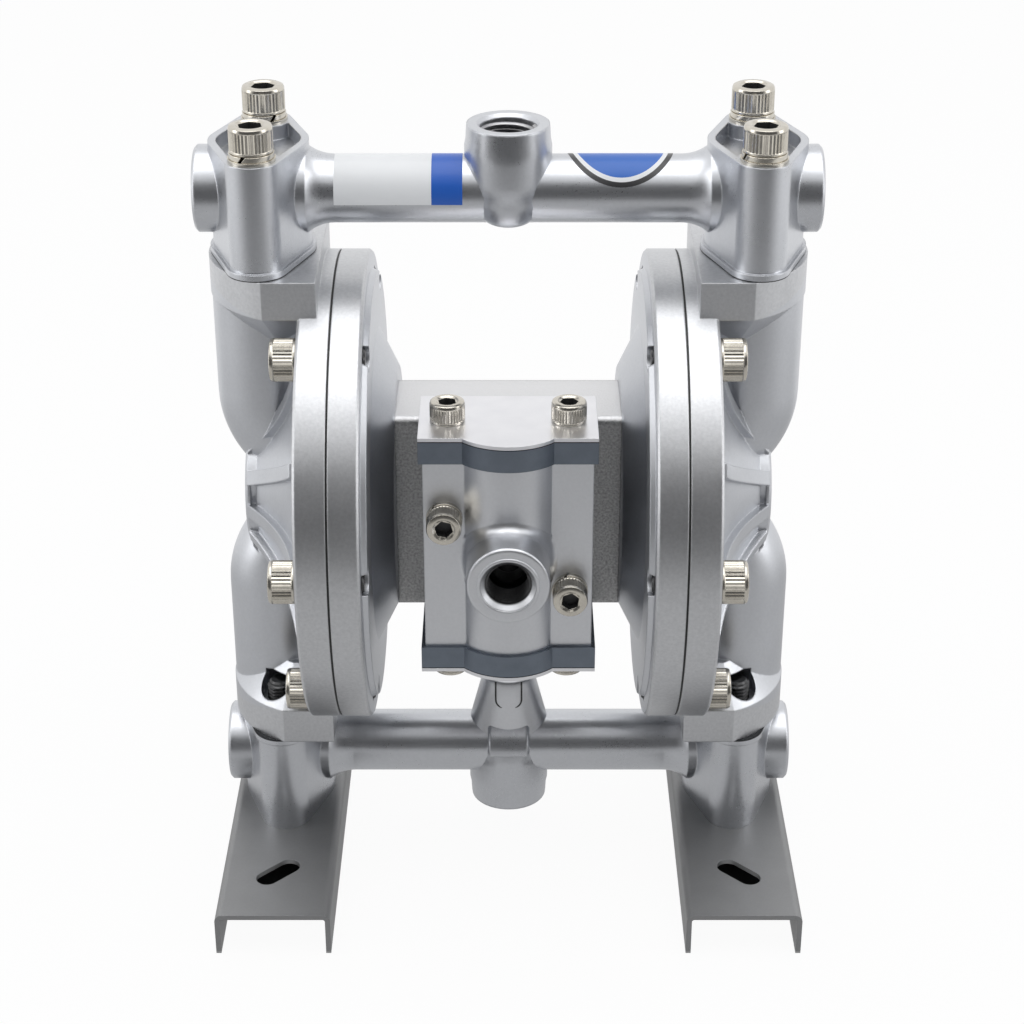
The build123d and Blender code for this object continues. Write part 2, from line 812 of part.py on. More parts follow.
# Countersunk screws that hold the air chambers to the centre body, from inside
with BuildPart() as tie_screw:
    Cone(tie_screw_head / 2, M8[0] / 2, tie_screw_head_height, align=low_base)
    Cylinder(M8[0] / 2, tie_screw_length, align=low_base)
    with BuildSketch(Plane.XY):
        RegularPolygon(tie_screw_key / 2, 6, major_radius=False)
    extrude(amount=tie_screw_key_depth, mode=Mode.SUBTRACT)

with BuildPart() as air_chamber_screws:
    for side in (-1, 1):
        for y, z in tie_points:
            with Locations(Location((side * air_wall_x, y, shaft_z + z), (0, -90 * side, 0))):
                add(tie_screw.part)
air_chamber_screws.part.label = "air_chamber_screws"

# Air valve body: wings, a round bulge over the sleeve, and the air inlet boss
valve_plan = valve_outline(0)
cap_plan = valve_outline(cap_margin)
with BuildPart() as valve_body:
    with BuildSketch(Plane.XY.offset(valve_z - valve_half_z)):
        add(valve_plan)
    extrude(amount=2 * valve_half_z)
    with BuildSketch(valve_front):
        Circle(inlet_boss_radius)
    extrude(amount=inlet_reach)
    fillet(valve_body.edges().filter_by(GeomType.CIRCLE).sort_by(Axis.Y)[0], inlet_boss_edge)
    with Locations((0, spool_y, valve_z - valve_half_z)):
        Cylinder(sleeve_radius + sleeve_gap, 2 * valve_half_z, align=low_base, mode=Mode.SUBTRACT)
    with BuildSketch(valve_front.offset(inlet_reach)):
        Circle(inlet_bore)
    extrude(amount=-inlet_thread_depth, mode=Mode.SUBTRACT)
    with BuildSketch(valve_front.offset(inlet_reach)):
        Circle(inlet_bore + inlet_chamfer)
    extrude(amount=-inlet_chamfer, taper=45, mode=Mode.SUBTRACT)
    with BuildSketch(valve_front):
        Circle(inlet_passage)
    extrude(amount=inlet_reach, mode=Mode.SUBTRACT)
    for x, z in ((-airway_x, 0), (airway_x, 0), (0, exhaust_passage_up)):
        with BuildSketch(Plane((x, valve_back_y, shaft_z + z), z_dir=(0, -1, 0))):
            Circle(airway_radius)
        extrude(amount=spool_depth, mode=Mode.SUBTRACT)
    for x, z in valve_screws_at:
        with BuildSketch(Plane((x, valve_back_y, shaft_z + z), z_dir=(0, -1, 0))):
            Circle(m8_clear / 2)
        extrude(amount=wing_depth, mode=Mode.SUBTRACT)
    for way in (-1, 1):
        end_plane = Plane((0, 0, valve_z + way * valve_half_z), x_dir=(1, 0, 0), z_dir=(0, 0, way))
        with BuildSketch(end_plane):
            with Locations(*[(x, way * y) for x, y in cap_screw_points]):
                Circle(M8[0] / 2 + screw_gap)
        extrude(amount=-cap_bite, mode=Mode.SUBTRACT)
valve_body.part.label = "valve_body"

with BuildPart() as valve_gasket:
    with BuildSketch(Plane((0, gasket_y, shaft_z), x_dir=(1, 0, 0), z_dir=(0, -1, 0))):
        with Locations((0, valve_up)):
            Rectangle(2 * (valve_half_x - gasket_margin), 2 * (valve_half_z - gasket_margin))
        with Locations((-airway_x, 0), (airway_x, 0), (0, exhaust_passage_up)):
            Circle(airway_radius, mode=Mode.SUBTRACT)
        with Locations(*valve_screws_at):
            Circle(m8_clear / 2, mode=Mode.SUBTRACT)
    extrude(amount=gasket_thickness)
valve_gasket.part.label = "valve_gasket"

# Sleeve with rings of ports, and the spool that slides in it
with BuildPart() as valve_sleeve:
    with Locations((0, spool_y, valve_z)):
        Cylinder(sleeve_radius, 2 * valve_half_z)
        Cylinder(sleeve_bore, 2 * valve_half_z, mode=Mode.SUBTRACT)
    for row in (-1, 0, 1):
        with Locations((0, spool_y, valve_z + row * sleeve_port_spacing)):
            for turn in ((90, 0, 0), lying):
                Cylinder(airway_radius, 3 * sleeve_radius, rotation=turn, mode=Mode.SUBTRACT)
valve_sleeve.part.label = "valve_sleeve"

spool_length = 2 * valve_half_z - spool_travel - 2 * spool_gap
spool_bottom = valve_z - valve_half_z + spool_gap
land_pitch = (spool_length - land_length) / (spool_lands - 1)
land_steps = [spool_bottom + i * land_pitch for i in range(spool_lands)]
with BuildPart() as valve_spool:
    with Locations((0, spool_y, spool_bottom)):
        Cylinder(spool_neck, spool_length, align=low_base)
    for level in land_steps:
        with Locations((0, spool_y, level)):
            Cylinder(sleeve_bore - rod_clearance, land_length, align=low_base)
        with Locations((0, spool_y, level + (land_length - ring_height) / 2)):
            Cylinder(sleeve_bore, ring_height, align=low_base, mode=Mode.SUBTRACT)
            Cylinder(sleeve_bore - ring_depth, ring_height, align=low_base)
valve_spool.part.label = "valve_spool"

with BuildPart() as spool_seals:
    for level in land_steps:
        with Locations((0, spool_y, level + (land_length - ring_height) / 2)):
            Cylinder(sleeve_bore - sleeve_gap, ring_height, align=low_base)
            Cylinder(sleeve_bore - ring_depth, ring_height, align=low_base, mode=Mode.SUBTRACT)
spool_seals.part.label = "spool_seals"


def valve_end(start, thickness):
    """Plate with the outline of the valve end, from a height above the body's end."""
    with BuildPart() as plate:
        with BuildSketch(Plane.XY.offset(start)):
            add(cap_plan)
            with Locations(*cap_screw_points):
                Circle(m8_clear / 2, mode=Mode.SUBTRACT)
        extrude(amount=thickness)
    return plate.part


top_end = valve_z + valve_half_z
bottom_end = valve_z - valve_half_z
upper_cap = valve_end(top_end, cap_height)
lower_cap = valve_end(bottom_end - cap_height, cap_height)
upper_plate = valve_end(top_end + cap_height, plate_height)
lower_plate = valve_end(bottom_end - cap_height - plate_height, plate_height)
with BuildPart() as valve_cap_top:
    add(upper_cap)
valve_cap_top.part.label = "valve_cap_top"

with BuildPart() as valve_cap_bottom:
    add(lower_cap)
valve_cap_bottom.part.label = "valve_cap_bottom"

with BuildPart() as cover_plate_top:
    add(upper_plate)
cover_plate_top.part.label = "cover_plate_top"

with BuildPart() as cover_plate_bottom:
    add(lower_plate)
cover_plate_bottom.part.label = "cover_plate_bottom"

# Feet
for side, name in ((-1, "foot_left"), (1, "foot_right")):
    with BuildPart() as foot:
        with BuildSketch(Plane((side * column_x, foot_length / 2, 0), x_dir=(1, 0, 0), z_dir=(0, -1, 0))):
            with BuildLine():
                FilletPolyline(
                    (-foot_half, 0),
                    (-foot_half, foot_height),
                    (foot_half, foot_height),
                    (foot_half, 0),
                    radius=foot_bend,
                )
                Line((foot_half, 0), (foot_half - foot_sheet, 0))
                FilletPolyline(
                    (foot_half - foot_sheet, 0),
                    (foot_half - foot_sheet, foot_top),
                    (foot_sheet - foot_half, foot_top),
                    (foot_sheet - foot_half, 0),
                    radius=foot_bend - foot_sheet,
                )
                Line((foot_sheet - foot_half, 0), (-foot_half, 0))
            make_face()
        extrude(amount=foot_length)
        with BuildSketch(Plane((side * column_x, 0, foot_top))):
            with Locations((0, bolt_y), (0, -bolt_y)):
                Circle(m10_clear / 2)
            with Locations((0, -slot_y)):
                SlotCenterToCenter(slot_spacing, slot_width, rotation=-side * 45)
            with Locations((0, slot_y)):
                SlotCenterToCenter(slot_spacing, slot_width, rotation=side * 45)
        extrude(amount=foot_sheet, mode=Mode.SUBTRACT)
    foot.part.label = name
    if side < 0:
        foot_left = foot
    else:
        foot_right = foot

# Ball checks: a seat in each joint face, a ball that lifts off it, a ring round it
ball_nodes = {}
for side, side_name in ((-1, "left"), (1, "right")):
    for level, level_name in ((outlet_joint_z, "outlet"), (inlet_joint_z, "inlet")):
        with BuildPart() as ball:
            with Locations((side * column_x, 0, level + ball_rise)):
                Sphere(ball_radius)
        name = level_name + "_ball_" + side_name
        ball.part.label = name
        ball_nodes[name] = ball

seat_places = [
    (side * column_x, 0, level - seat_height)
    for side in (-1, 1)
    for level in (outlet_joint_z, inlet_joint_z)
]
with BuildPart() as ball_seats:
    with Locations(*seat_places):
        Cylinder(seat_radius, seat_height, align=low_base)
        Cylinder(seat_hole, seat_height, align=low_base, mode=Mode.SUBTRACT)
ball_seats.part.label = "ball_seats"

ring_places = [
    (side * column_x, 0, level)
    for side in (-1, 1)
    for level in (outlet_joint_z - joint_ring_depth, inlet_joint_z)
]
with BuildPart() as joint_rings:
    with Locations(*ring_places):
        Cylinder(joint_ring_inner + joint_ring_width, joint_ring_depth, align=low_base)
        Cylinder(joint_ring_inner, joint_ring_depth, align=low_base, mode=Mode.SUBTRACT)
joint_rings.part.label = "joint_rings"

# Fasteners
flat_ring = washer(flat_washer, m10_clear)
spring_ring = washer(spring_washer, m10_clear)
small_spring_ring = washer(small_spring_washer, m8_clear)
outlet_bolt = socket_screw(M10, outlet_bolt_length)
inlet_bolt = socket_screw(M10, inlet_bolt_length)
chamber_bolt = socket_screw(M10, chamber_bolt_length)
cap_screw = socket_screw(M8, cap_screw_length)
valve_screw = socket_screw(M8, valve_screw_length)
with BuildPart() as outlet_flat_washers:
    with Locations(*column_bolts(outlet_head_z)):
        add(flat_ring)
outlet_flat_washers.part.label = "outlet_flat_washers"

with BuildPart() as outlet_spring_washers:
    with Locations(*column_bolts(outlet_head_z + flat_washer[1])):
        add(spring_ring)
outlet_spring_washers.part.label = "outlet_spring_washers"

with BuildPart() as outlet_manifold_bolts:
    with Locations(*column_bolts(outlet_head_z + flat_washer[1] + spring_washer[1])):
        add(outlet_bolt)
outlet_manifold_bolts.part.label = "outlet_manifold_bolts"

with BuildPart() as inlet_spring_washers:
    with Locations(*column_bolts(foot_top - spring_washer[1])):
        add(spring_ring)
inlet_spring_washers.part.label = "inlet_spring_washers"

with BuildPart() as inlet_manifold_bolts:
    for place in column_bolts(foot_top - spring_washer[1]):
        with Locations(Location(place, (180, 0, 0))):
            add(inlet_bolt)
inlet_manifold_bolts.part.label = "inlet_manifold_bolts"

chamber_bolt_sets = {}
for side, side_name in ((-1, "left"), (1, "right")):
    with BuildPart() as chamber_bolts:
        for y, z in bolt_points:
            place = Location((side * liquid_back_x, y, shaft_z + z), (0, 90 * side, 0))
            with Locations(place):
                add(chamber_bolt)
    chamber_bolts.part.label = "chamber_bolts_" + side_name
    chamber_bolt_sets[chamber_bolts.part.label] = chamber_bolts

with BuildPart() as cap_screws_top:
    for x, y in cap_screw_points:
        with Locations((x, y, top_end + cap_height + plate_height)):
            add(cap_screw)
cap_screws_top.part.label = "cap_screws_top"

with BuildPart() as cap_screws_bottom:
    for x, y in cap_screw_points:
        with Locations(Location((x, y, bottom_end - cap_height - plate_height), (180, 0, 0))):
            add(cap_screw)
cap_screws_bottom.part.label = "cap_screws_bottom"

with BuildPart() as valve_screw_washers:
    for x, z in valve_screws_at:
        with Locations(Location((x, wing_front_y, shaft_z + z), (90, 0, 0))):
            add(small_spring_ring)
valve_screw_washers.part.label = "valve_screw_washers"

with BuildPart() as valve_screws:
    for x, z in valve_screws_at:
        seat_y = wing_front_y - small_spring_washer[1]
        with Locations(Location((x, seat_y, shaft_z + z), (90, 0, 0))):
            add(valve_screw)
valve_screws.part.label = "valve_screws"

os.makedirs("parts", exist_ok=True)
export_step(outlet_manifold.part, "parts/outlet_manifold.step")
export_step(inlet_manifold.part, "parts/inlet_manifold.step")
export_step(liquid_chamber_left.part, "parts/liquid_chamber_left.step")
export_step(liquid_chamber_right.part, "parts/liquid_chamber_right.step")
export_step(air_chamber_left.part, "parts/air_chamber_left.step")
export_step(air_chamber_right.part, "parts/air_chamber_right.step")
export_step(diaphragm_left.part, "parts/diaphragm_left.step")
export_step(diaphragm_right.part, "parts/diaphragm_right.step")
export_step(inner_disc_left.part, "parts/inner_disc_left.step")
export_step(inner_disc_right.part, "parts/inner_disc_right.step")
export_step(outer_disc_left.part, "parts/outer_disc_left.step")
export_step(outer_disc_right.part, "parts/outer_disc_right.step")
export_step(disc_nut_left.part, "parts/disc_nut_left.step")
export_step(disc_nut_right.part, "parts/disc_nut_right.step")
export_step(centre_rod.part, "parts/centre_rod.step")
export_step(centre_body.part, "parts/centre_body.step")
export_step(rod_bushes.part, "parts/rod_bushes.step")
export_step(rod_seals.part, "parts/rod_seals.step")
export_step(air_chamber_screws.part, "parts/air_chamber_screws.step")
export_step(valve_body.part, "parts/valve_body.step")
export_step(valve_gasket.part, "parts/valve_gasket.step")
export_step(valve_sleeve.part, "parts/valve_sleeve.step")
export_step(valve_spool.part, "parts/valve_spool.step")
export_step(spool_seals.part, "parts/spool_seals.step")
export_step(valve_cap_top.part, "parts/valve_cap_top.step")
export_step(valve_cap_bottom.part, "parts/valve_cap_bottom.step")
export_step(cover_plate_top.part, "parts/cover_plate_top.step")
export_step(cover_plate_bottom.part, "parts/cover_plate_bottom.step")
export_step(foot_left.part, "parts/foot_left.step")
export_step(foot_right.part, "parts/foot_right.step")
export_step(ball_seats.part, "parts/ball_seats.step")
export_step(joint_rings.part, "parts/joint_rings.step")
export_step(outlet_flat_washers.part, "parts/outlet_flat_washers.step")
export_step(outlet_spring_washers.part, "parts/outlet_spring_washers.step")
export_step(outlet_manifold_bolts.part, "parts/outlet_manifold_bolts.step")
export_step(inlet_spring_washers.part, "parts/inlet_spring_washers.step")
export_step(inlet_manifold_bolts.part, "parts/inlet_manifold_bolts.step")
export_step(cap_screws_top.part, "parts/cap_screws_top.step")
export_step(cap_screws_bottom.part, "parts/cap_screws_bottom.step")
export_step(valve_screw_washers.part, "parts/valve_screw_washers.step")
export_step(valve_screws.part, "parts/valve_screws.step")
for name, ball in ball_nodes.items():
    export_step(ball.part, "parts/" + name + ".step")
for name, bolts in chamber_bolt_sets.items():
    export_step(bolts.part, "parts/" + name + ".step")
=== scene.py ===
from math import atan2, cos, degrees, pi, radians, sin, sqrt

import bmesh
import bpy
from mathutils import Matrix, Vector


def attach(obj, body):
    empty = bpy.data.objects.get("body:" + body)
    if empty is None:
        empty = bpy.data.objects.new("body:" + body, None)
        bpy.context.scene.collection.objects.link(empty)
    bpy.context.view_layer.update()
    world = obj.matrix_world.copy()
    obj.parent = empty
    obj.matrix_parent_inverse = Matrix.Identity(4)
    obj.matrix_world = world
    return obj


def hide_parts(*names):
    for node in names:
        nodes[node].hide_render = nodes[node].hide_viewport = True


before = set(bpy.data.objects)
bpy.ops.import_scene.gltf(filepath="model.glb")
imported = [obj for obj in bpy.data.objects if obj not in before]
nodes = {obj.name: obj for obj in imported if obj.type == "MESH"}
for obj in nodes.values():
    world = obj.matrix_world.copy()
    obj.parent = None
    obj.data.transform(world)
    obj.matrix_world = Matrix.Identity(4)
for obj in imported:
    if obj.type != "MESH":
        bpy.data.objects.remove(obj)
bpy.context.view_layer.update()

# Air operated diaphragm pump. Metres, +Z up, the front with the air inlet faces -Y.
# Shapes are worked out in millimetres and scaled when each piece is finished.
mm = 0.001

# Axes and faces of the CAD model that finishes and new pieces are set by
shaft_z = 160.0
column_x = 91.9
outlet_z = 282.2
inlet_z = 39.5
pipe_radius = 12.7
port_reach = 25.0
outlet_joint_z = 258.5
inlet_joint_z = 61.5
chamber_rim_radius = 90.9
block_top_z = 200.0
valve_z = 161.0
spool_y = -49.0
bulge_radius = 21.5
wing_front_y = -63.3
inlet_face_y = -85.0
exhaust_face_y = 27.0
exhaust_z = 164.0
foot_half_x = 22.5

# Seats of the screws: where each head or its washer stands
manifold_bolt_y = 24.0
outlet_washer_z = 302.4
inlet_washer_z = 14.0
chamber_bolt_circle = 81.3
chamber_bolt_x = 77.2
cap_screw_x = 22.3
cover_top_z = 210.0
cover_bottom_z = 112.0
washer_height = 2.0


class Wire:
    """A shader socket that takes part in Python sums."""

    def __init__(self, finish, socket):
        self.finish = finish
        self.socket = socket

    def _sum(self, operation, first, second):
        return self.finish.node("ShaderNodeMath", {"operation": operation}, {0: first, 1: second})

    def __add__(self, other):
        return self._sum("ADD", self, other)

    __radd__ = __add__

    def __mul__(self, other):
        return self._sum("MULTIPLY", self, other)

    __rmul__ = __mul__

    def __sub__(self, other):
        return self._sum("SUBTRACT", self, other)

    def __rsub__(self, other):
        return self._sum("SUBTRACT", other, self)

    def __pow__(self, other):
        return self._sum("POWER", self, other)

    def __gt__(self, other):
        return self._sum("GREATER_THAN", self, other)

    def __abs__(self):
        return self._sum("ABSOLUTE", self, 0.0)


class Finish:
    """A material: its shader, its node tree and the object coordinates, in metres."""

    def __init__(self, name, **constants):
        self.material = bpy.data.materials.new(name)
        self.material.use_nodes = True
        self.tree = self.material.node_tree
        self.shader = self.tree.nodes["Principled BSDF"]
        for socket, value in constants.items():
            self.shader.inputs[socket.replace("_", " ")].default_value = value
        self.place = self.node("ShaderNodeTexCoord", output="Object")
        self.x, self.y, self.z = (
            self.node("ShaderNodeSeparateXYZ", sockets={0: self.place}, output=i) for i in range(3)
        )

    def node(self, kind, settings=None, sockets=None, output=0):
        made = self.tree.nodes.new(kind)
        for name, value in (settings or {}).items():
            if name == "stops":
                ramp = made.color_ramp
                while len(ramp.elements) < len(value):
                    ramp.elements.new(1.0)
                for element, (position, colour) in zip(ramp.elements, value):
                    element.position = position
                    element.color = (*colour, 1.0)
            else:
                setattr(made, name, value)
        for name, value in (sockets or {}).items():
            self.feed(made.inputs[name], value)
        return Wire(self, made.outputs[output])

    def feed(self, socket, value):
        if isinstance(value, Wire):
            self.tree.links.new(value.socket, socket)
        else:
            socket.default_value = value

    def drive(self, **sockets):
        for name, value in sockets.items():
            self.feed(self.shader.inputs[name.replace("_", " ")], value)

    def noise(self, size, detail):
        """Cloudy pattern whose blots are about size metres across."""
        return self.node(
            "ShaderNodeTexNoise", sockets={"Vector": self.place, "Scale": 1.0 / size, "Detail": detail}
        )

    def ramp(self, value, *stops):
        return self.node("ShaderNodeValToRGB", {"stops": stops}, {0: value})

    def mix(self, share, first, second):
        return self.node(
            "ShaderNodeMix",
            {"data_type": "RGBA", "clamp_factor": True},
            {
                0: share,
                6: first if isinstance(first, Wire) else (*first, 1.0),
                7: second if isinstance(second, Wire) else (*second, 1.0),
            },
            output=2,
        )

    def fade(self, value, start, end):
        """0 at start and 1 at end, with a soft change between them."""
        return self.node(
            "ShaderNodeMapRange",
            {"interpolation_type": "SMOOTHSTEP", "clamp": True},
            {"Value": value, "From Min": start, "From Max": end},
        )

    def round_edges(self, radius):
        return self.node("ShaderNodeBevel", {"samples": 4}, {"Radius": radius})

    def bump(self, height, depth, normal=None):
        sockets = {"Height": height, "Distance": depth, "Strength": 1.0}
        if normal is not None:
            sockets["Normal"] = normal
        return self.node("ShaderNodeBump", sockets=sockets)

    def off_axis(self, first, second):
        """Distance from an axis, given the two coordinates across it."""
        return (first * first + second * second) ** 0.5


# Finishes
def casting_finish(name, light, dark, grain_size, grain_depth, roughness, machined=None, painted_shade=None):
    """Blasted cast aluminium, flecked where it is machined, with painted shade where no light gets in."""
    finish = Finish(name, Metallic=1.0)
    grain = finish.noise(grain_size, 3.0)
    cloud = finish.noise(0.018, 4.0)
    fleck = finish.noise(0.0012, 3.0)
    shade = finish.mix(cloud * 0.55 + fleck * 0.45, dark, light)
    rough = roughness + (grain - 0.5) * 0.22 + (cloud - 0.5) * 0.12
    height = grain + cloud * 2.0
    if machined is not None:
        share = machined(finish)
        shade = finish.mix(share, shade, finish.mix(fleck, (0.50, 0.508, 0.525), (0.68, 0.688, 0.705)))
        rough = rough + share * 0.02
    # Painted shade: the base colour turns near black where no light gets in
    if painted_shade is not None:
        shade = finish.mix(painted_shade(finish), shade, (0.022, 0.023, 0.025))
    finish.drive(
        Base_Color=shade,
        Roughness=rough,
        Normal=finish.bump(height, grain_depth, finish.round_edges(0.0008)),
    )
    return finish.material


def chamber_rims(finish):
    """The turned edges of the chambers' flanges."""
    return finish.off_axis(finish.y, finish.z - shaft_z * mm) > chamber_rim_radius * mm


def manifold_painted_shade(finish):
    """Painted shadow in the thin line where each head meets its chamber, and painted shade in the depth
    of the two ports.
    """
    middle = (outlet_joint_z + inlet_joint_z) / 2 * mm
    half = (outlet_joint_z - inlet_joint_z) / 2 * mm
    head = finish.fade(abs(finish.x), 0.045, 0.060)
    joint_shadow = head * finish.fade(abs(finish.z - middle), half + 0.0005, half + 0.0002)
    # Painted shade inside each port's bore
    port = finish.fade(finish.off_axis(finish.x, finish.y), 0.0106, 0.0101)
    return joint_shadow + port


def valve_painted_shade(finish):
    """Painted shade in the depth of the air inlet behind its mouth."""
    bore = finish.fade(finish.off_axis(finish.x, finish.z - shaft_z * mm), 0.0090, 0.0084)
    return bore * finish.fade(finish.y, (inlet_face_y + 0.4) * mm, (inlet_face_y + 2.5) * mm)


silver_light, silver_dark = (0.66, 0.675, 0.705), (0.50, 0.512, 0.54)
chamber_casting = casting_finish(
    "chamber_casting", silver_light, silver_dark, 0.00045, 0.00003, 0.38, chamber_rims
)
manifold_casting = casting_finish(
    "manifold_casting", silver_light, silver_dark, 0.00060, 0.000011, 0.32, painted_shade=manifold_painted_shade
)
valve_casting = casting_finish(
    "valve_casting", (0.74, 0.753, 0.78), (0.60, 0.61, 0.635), 0.00045, 0.00003, 0.37, painted_shade=valve_painted_shade
)


def block_finish():
    """Rough, mottled casting of the centre body, with an even, lighter colour on its top."""
    finish = Finish("block_casting", Metallic=1.0)
    grain = finish.noise(0.0007, 4.0)
    mottle = finish.ramp(finish.noise(0.0009, 5.0), (0.34, (0.30,) * 3), (0.66, (0.50,) * 3))
    top = finish.fade(finish.z, (block_top_z - 1.5) * mm, (block_top_z + 0.3) * mm)
    finish.drive(
        Base_Color=finish.mix(top, mottle, (0.72, 0.72, 0.73)),
        Roughness=0.44 + (grain - 0.5) * 0.3,
        Normal=finish.bump(grain, 0.00016, finish.round_edges(0.0008)),
    )
    return finish.material


def plain_metal(name, light, dark, roughness, size, depth, metallic=1.0, painted_shade=None):
    """Metal with a soft change of tone and a faint grain, and painted shade where asked."""
    finish = Finish(name, Metallic=metallic)
    cloud = finish.noise(size, 3.0)
    grain = finish.noise(size / 12.0, 2.0)
    shade = finish.mix(cloud, dark, light)
    # Painted shade: the base colour turns near black where the mask says
    if painted_shade is not None:
        shade = finish.mix(painted_shade(finish), shade, (0.03, 0.032, 0.035))
    finish.drive(
        Base_Color=shade,
        Roughness=roughness + (grain - 0.5) * 0.14,
        Normal=finish.bump(grain, depth, finish.round_edges(0.0003)),
    )
    return finish.material


def black_finish(name, light, dark, roughness, size):
    """Dull black: rubber, and the painted shade inside the screws' sockets."""
    finish = Finish(name, Metallic=0.0)
    grain = finish.noise(size, 3.0)
    finish.drive(
        Base_Color=finish.mix(grain, (dark,) * 3, (light,) * 3),
        Roughness=roughness + (grain - 0.5) * 0.2,
        Normal=finish.bump(grain, 0.00003),
    )
    return finish.material


def label_finish(name, colour, band=None, band_from=0.0):
    """Printed film: one colour, with a second one past a line across it."""
    finish = Finish(name, Metallic=0.0, Coat_Roughness=0.25)
    wear = finish.noise(0.006, 4.0)
    shade = finish.mix(wear * 0.16, colour, tuple(0.8 * part for part in colour))
    if band is not None:
        shade = finish.mix(finish.x > band_from, shade, band)
    finish.drive(Base_Color=shade, Roughness=0.34 + wear * 0.12, Coat_Weight=0.25 + wear * 0.1)
    return finish.material


def cap_painted_shadow(finish):
    """The thin painted shadow between each valve cap and its cover plate."""
    return finish.fade(abs(finish.z - valve_z * mm), 0.0471, 0.0474)


block_casting = block_finish()
cap_metal = plain_metal(
    "cap_metal", (0.22, 0.25, 0.295), (0.16, 0.185, 0.22), 0.42, 0.006, 0.00003, painted_shade=cap_painted_shadow
)
cover_metal = plain_metal("cover_metal", (0.86, 0.86, 0.88), (0.76, 0.76, 0.79), 0.32, 0.008, 0.00003)
foot_metal = plain_metal(
    "foot_metal", (0.31, 0.312, 0.316), (0.27, 0.272, 0.276), 0.50, 0.010, 0.00002, metallic=0.85
)
nickel = plain_metal("nickel_screw", (0.70, 0.665, 0.59), (0.50, 0.47, 0.415), 0.19, 0.003, 0.00001)
steel = plain_metal("bright_steel", (0.72, 0.72, 0.73), (0.62, 0.62, 0.63), 0.16, 0.008, 0.000004)
disc_metal = plain_metal("disc_metal", (0.72, 0.72, 0.73), (0.60, 0.60, 0.61), 0.36, 0.006, 0.00002)
bush_metal = plain_metal("bush_metal", (0.62, 0.42, 0.20), (0.48, 0.31, 0.14), 0.32, 0.005, 0.00001)
thread_metal = plain_metal("thread_metal", (0.50, 0.50, 0.51), (0.36, 0.36, 0.37), 0.30, 0.003, 0.00002)
# Dark steel of the screws' thread ends, also used as painted shade in the air inlet's bore and in the
# upright's grooves
dark_thread_and_painted_shade = plain_metal("dark_thread_and_painted_shade", (0.10, 0.10, 0.102), (0.05, 0.05, 0.052), 0.28, 0.003, 0.00001)
rubber = black_finish("black_rubber", 0.028, 0.010, 0.55, 0.0006)
# Painted shade for the depth of the screws' hex sockets
socket_painted_shade = black_finish("socket_painted_shade", 0.050, 0.015, 0.45, 0.0012)
paper_white = (0.82, 0.83, 0.84)
label_white = label_finish("label_white", paper_white, (0.004, 0.10, 0.50), -0.0282)
badge_blue = label_finish("badge_blue", (0.008, 0.12, 0.50))
badge_white = label_finish("badge_white", paper_white)
badge_black = label_finish("badge_black", (0.02, 0.02, 0.022))

node_finishes = {
    "outlet_manifold": manifold_casting,
    "inlet_manifold": manifold_casting,
    "valve_body": valve_casting,
    "centre_body": block_casting,
    "valve_cap_top": cap_metal,
    "valve_cap_bottom": cap_metal,
    "cover_plate_top": cover_metal,
    "cover_plate_bottom": cover_metal,
    "foot_left": foot_metal,
    "foot_right": foot_metal,
    "centre_rod": steel,
    "rod_bushes": bush_metal,
    "valve_sleeve": steel,
    "valve_spool": steel,
    "ball_seats": steel,
    "air_chamber_screws": steel,
}
for side in ("left", "right"):
    node_finishes["liquid_chamber_" + side] = chamber_casting
    node_finishes["air_chamber_" + side] = chamber_casting
    node_finishes["diaphragm_" + side] = rubber
    node_finishes["inner_disc_" + side] = disc_metal
    node_finishes["outer_disc_" + side] = disc_metal
    node_finishes["disc_nut_" + side] = steel
    node_finishes["outlet_ball_" + side] = steel
    node_finishes["inlet_ball_" + side] = steel
for name in ("rod_seals", "spool_seals", "joint_rings", "valve_gasket"):
    node_finishes[name] = rubber
for name in nodes:
    mesh = nodes[name].data
    mesh.materials.clear()
    mesh.materials.append(node_finishes.get(name, nickel))


# Ways to make a piece
def finish_piece(name, bm, materials, stands_for=(), sharp=32.0):
    """Turn a shape in millimetres into a piece that rides on the pump."""
    bmesh.ops.scale(bm, vec=(mm, mm, mm), verts=bm.verts)
    for face in bm.faces:
        face.smooth = True
    mesh = bpy.data.meshes.new(name)
    bm.to_mesh(mesh)
    bm.free()
    mesh.set_sharp_from_angle(angle=radians(sharp))
    for material in materials:
        mesh.materials.append(material)
    piece = bpy.data.objects.new(name, mesh)
    bpy.context.scene.collection.objects.link(piece)
    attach(piece, "pump")
    if stands_for:
        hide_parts(*stands_for)


def turned(bm, profile, steps, ring=False):
    """Turn (radius, height) points about Z, as a line from the axis or as a closed ring."""
    verts = [bm.verts.new((radius, 0.0, height)) for radius, height in profile]
    edges = [bm.edges.new(pair) for pair in zip(verts, verts[1:])]
    if ring:
        edges.append(bm.edges.new((verts[-1], verts[0])))
    bmesh.ops.spin(
        bm, geom=verts + edges, cent=(0, 0, 0), axis=(0, 0, 1), angle=2 * pi, steps=steps, use_merge=True
    )
    bmesh.ops.remove_doubles(bm, verts=bm.verts, dist=0.0005)


def swept(bm, section, angle, steps, rise=0.0):
    """Carry a closed (radius, height) section round Z, climbing by rise in a full turn."""
    verts = [bm.verts.new((radius, 0.0, height)) for radius, height in section]
    face = bm.faces.new(verts)
    climb = rise * angle / (2 * pi) / steps
    bmesh.ops.spin(
        bm, geom=[face], cent=(0, 0, 0), axis=(0, 0, 1), dvec=(0, 0, climb), angle=angle, steps=steps
    )


def verts_of(items):
    """The vertices in a mixed list of what an operator made."""
    return [item for item in items if isinstance(item, bmesh.types.BMVert)]


def aim(place, direction, roll=0.0):
    """Move a shape that stands on the origin to a place, turned towards a direction."""
    turn = Vector((0, 0, 1)).rotation_difference(Vector(direction)).to_matrix().to_4x4()
    return Matrix.Translation(place) @ turn @ Matrix.Rotation(radians(roll), 4, "Z")


